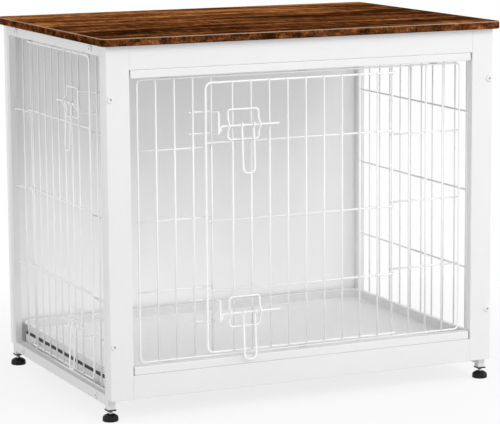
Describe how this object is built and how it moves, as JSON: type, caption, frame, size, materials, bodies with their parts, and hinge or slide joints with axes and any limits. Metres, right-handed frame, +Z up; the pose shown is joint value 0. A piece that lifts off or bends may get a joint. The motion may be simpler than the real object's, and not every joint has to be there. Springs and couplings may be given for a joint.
{
  "type": "dog crate",
  "caption": "Dog crate built as an end table: wood-grain top on white boards and steel legs, wire panels, hinged wire doors with sliding latch bolts, a lift-in tray and levelling feet.",
  "frame": {"origin": "on the floor under the middle of the top board", "axes": "+X to the right seen from the front, +Y to the back panel, +Z up; the front door faces -Y"},
  "size_m": [0.83, 0.6, 0.715],
  "materials": {
    "rustic_wood": "matte wood-grain laminate",
    "white_board": "satin white paint",
    "white_panel": "matte white laminate",
    "white_tube": "satin powder coat",
    "white_wire": "satin powder coat",
    "tray_plastic": "matte",
    "clip_plastic": "matte",
    "black_plastic": "matte",
    "black_rubber": "matte",
    "white_bolt": "satin",
    "zinc_steel": "zinc plated",
    "dowel_wood": "plain beech"
  },
  "bodies": {
    "crate": {"back_panel": "white_panel", "back_panel_bolts": "white_bolt", "crossbar_plugs": "zinc_steel", "front_apron": "white_board", "front_bottom_batten": "white_board", "front_bottom_rail": "white_board", "front_frame_dowels": "dowel_wood", "front_left_leg": "white_tube", "front_left_post": "white_board", "front_lower_keeper": "white_wire", "front_panel": "white_wire", "front_post_bolts": "white_bolt", "front_right_leg": "white_tube", "front_right_post": "white_board", "front_top_batten": "white_board", "front_upper_keeper": "white_wire", "left_bottom_rail": "white_tube", "left_panel": "white_wire", "left_top_rail": "white_tube", "left_tray_runner": "white_board", "left_tray_strip": "black_rubber", "leg_inserts": "black_plastic", "lower_front_crossbar": "white_tube", "lower_rear_crossbar": "white_tube", "panel_clips": "clip_plastic", "rear_left_leg": "white_tube", "rear_right_leg": "white_tube", "right_bottom_rail": "white_tube", "right_panel": "white_wire", "right_top_rail": "white_tube", "right_tray_runner": "white_board", "right_tray_strip": "black_rubber", "rivet_nuts": "zinc_steel", "side_lower_keeper": "white_wire", "side_rail_bolts": "white_bolt", "side_upper_keeper": "white_wire", "top_board": "rustic_wood", "top_board_screws": "zinc_steel", "tray": "tray_plastic", "upper_front_crossbar": "white_tube", "upper_rear_crossbar": "white_tube"},
    "front_door": {"front_door": "white_wire", "front_upper_bracket": "white_wire", "front_lower_bracket": "white_wire"},
    "side_door": {"side_door": "white_wire", "side_upper_bracket": "white_wire", "side_lower_bracket": "white_wire"},
    "front_upper_bolt": {"front_upper_bolt": "white_wire"},
    "front_upper_handle": {"front_upper_handle": "white_wire"},
    "front_lower_bolt": {"front_lower_bolt": "white_wire"},
    "front_lower_handle": {"front_lower_handle": "white_wire"},
    "side_upper_bolt": {"side_upper_bolt": "white_wire"},
    "side_upper_handle": {"side_upper_handle": "white_wire"},
    "side_lower_bolt": {"side_lower_bolt": "white_wire"},
    "side_lower_handle": {"side_lower_handle": "white_wire"},
    "front_left_foot": {"front_left_foot": "black_plastic"},
    "front_right_foot": {"front_right_foot": "black_plastic"},
    "rear_left_foot": {"rear_left_foot": "black_plastic"},
    "rear_right_foot": {"rear_right_foot": "black_plastic"}
  },
  "joints": [
    {"name": "front_door_hinge", "type": "hinge", "parent": "crate", "child": "front_door", "pos_m": [0.19, -0.27, 0.368], "axis": [0, 0, 1], "range_deg": [0, 155]},
    {"name": "side_door_hinge", "type": "hinge", "parent": "crate", "child": "side_door", "pos_m": [-0.391, 0.16, 0.368], "axis": [0, 0, -1], "range_deg": [0, 155]},
    {"name": "front_upper_bolt_slide", "type": "slide", "parent": "front_door", "child": "front_upper_bolt", "axis": [-1, 0, 0], "range_m": [-0.006, 0.022]},
    {"name": "front_upper_handle_swing", "type": "hinge", "parent": "front_upper_bolt", "child": "front_upper_handle", "pos_m": [-0.122, -0.2856, 0.542], "axis": [-1, 0, 0], "range_deg": [0, 175]},
    {"name": "front_lower_bolt_slide", "type": "slide", "parent": "front_door", "child": "front_lower_bolt", "axis": [-1, 0, 0], "range_m": [-0.006, 0.022]},
    {"name": "front_lower_handle_swing", "type": "hinge", "parent": "front_lower_bolt", "child": "front_lower_handle", "pos_m": [-0.122, -0.2856, 0.187], "axis": [-1, 0, 0], "range_deg": [0, 175]},
    {"name": "side_upper_bolt_slide", "type": "slide", "parent": "side_door", "child": "side_upper_bolt", "axis": [0, -1, 0], "range_m": [-0.006, 0.022]},
    {"name": "side_upper_handle_swing", "type": "hinge", "parent": "side_upper_bolt", "child": "side_upper_handle", "pos_m": [-0.4066, -0.099, 0.58], "axis": [0, 1, 0], "range_deg": [0, 175]},
    {"name": "side_lower_bolt_slide", "type": "slide", "parent": "side_door", "child": "side_lower_bolt", "axis": [0, -1, 0], "range_m": [-0.006, 0.022]},
    {"name": "side_lower_handle_swing", "type": "hinge", "parent": "side_lower_bolt", "child": "side_lower_handle", "pos_m": [-0.4066, -0.099, 0.157], "axis": [0, 1, 0], "range_deg": [0, 175]},
    {"name": "front_left_foot_screw", "type": "hinge", "parent": "crate", "child": "front_left_foot", "pos_m": [-0.3955, -0.2595, 0.02], "axis": [0, 0, 1], "continuous": true},
    {"name": "front_right_foot_screw", "type": "hinge", "parent": "crate", "child": "front_right_foot", "pos_m": [0.3955, -0.2595, 0.02], "axis": [0, 0, 1], "continuous": true},
    {"name": "rear_left_foot_screw", "type": "hinge", "parent": "crate", "child": "rear_left_foot", "pos_m": [-0.3955, 0.2625, 0.02], "axis": [0, 0, 1], "continuous": true},
    {"name": "rear_right_foot_screw", "type": "hinge", "parent": "crate", "child": "rear_right_foot", "pos_m": [0.3955, 0.2625, 0.02], "axis": [0, 0, 1], "continuous": true}
  ]
}
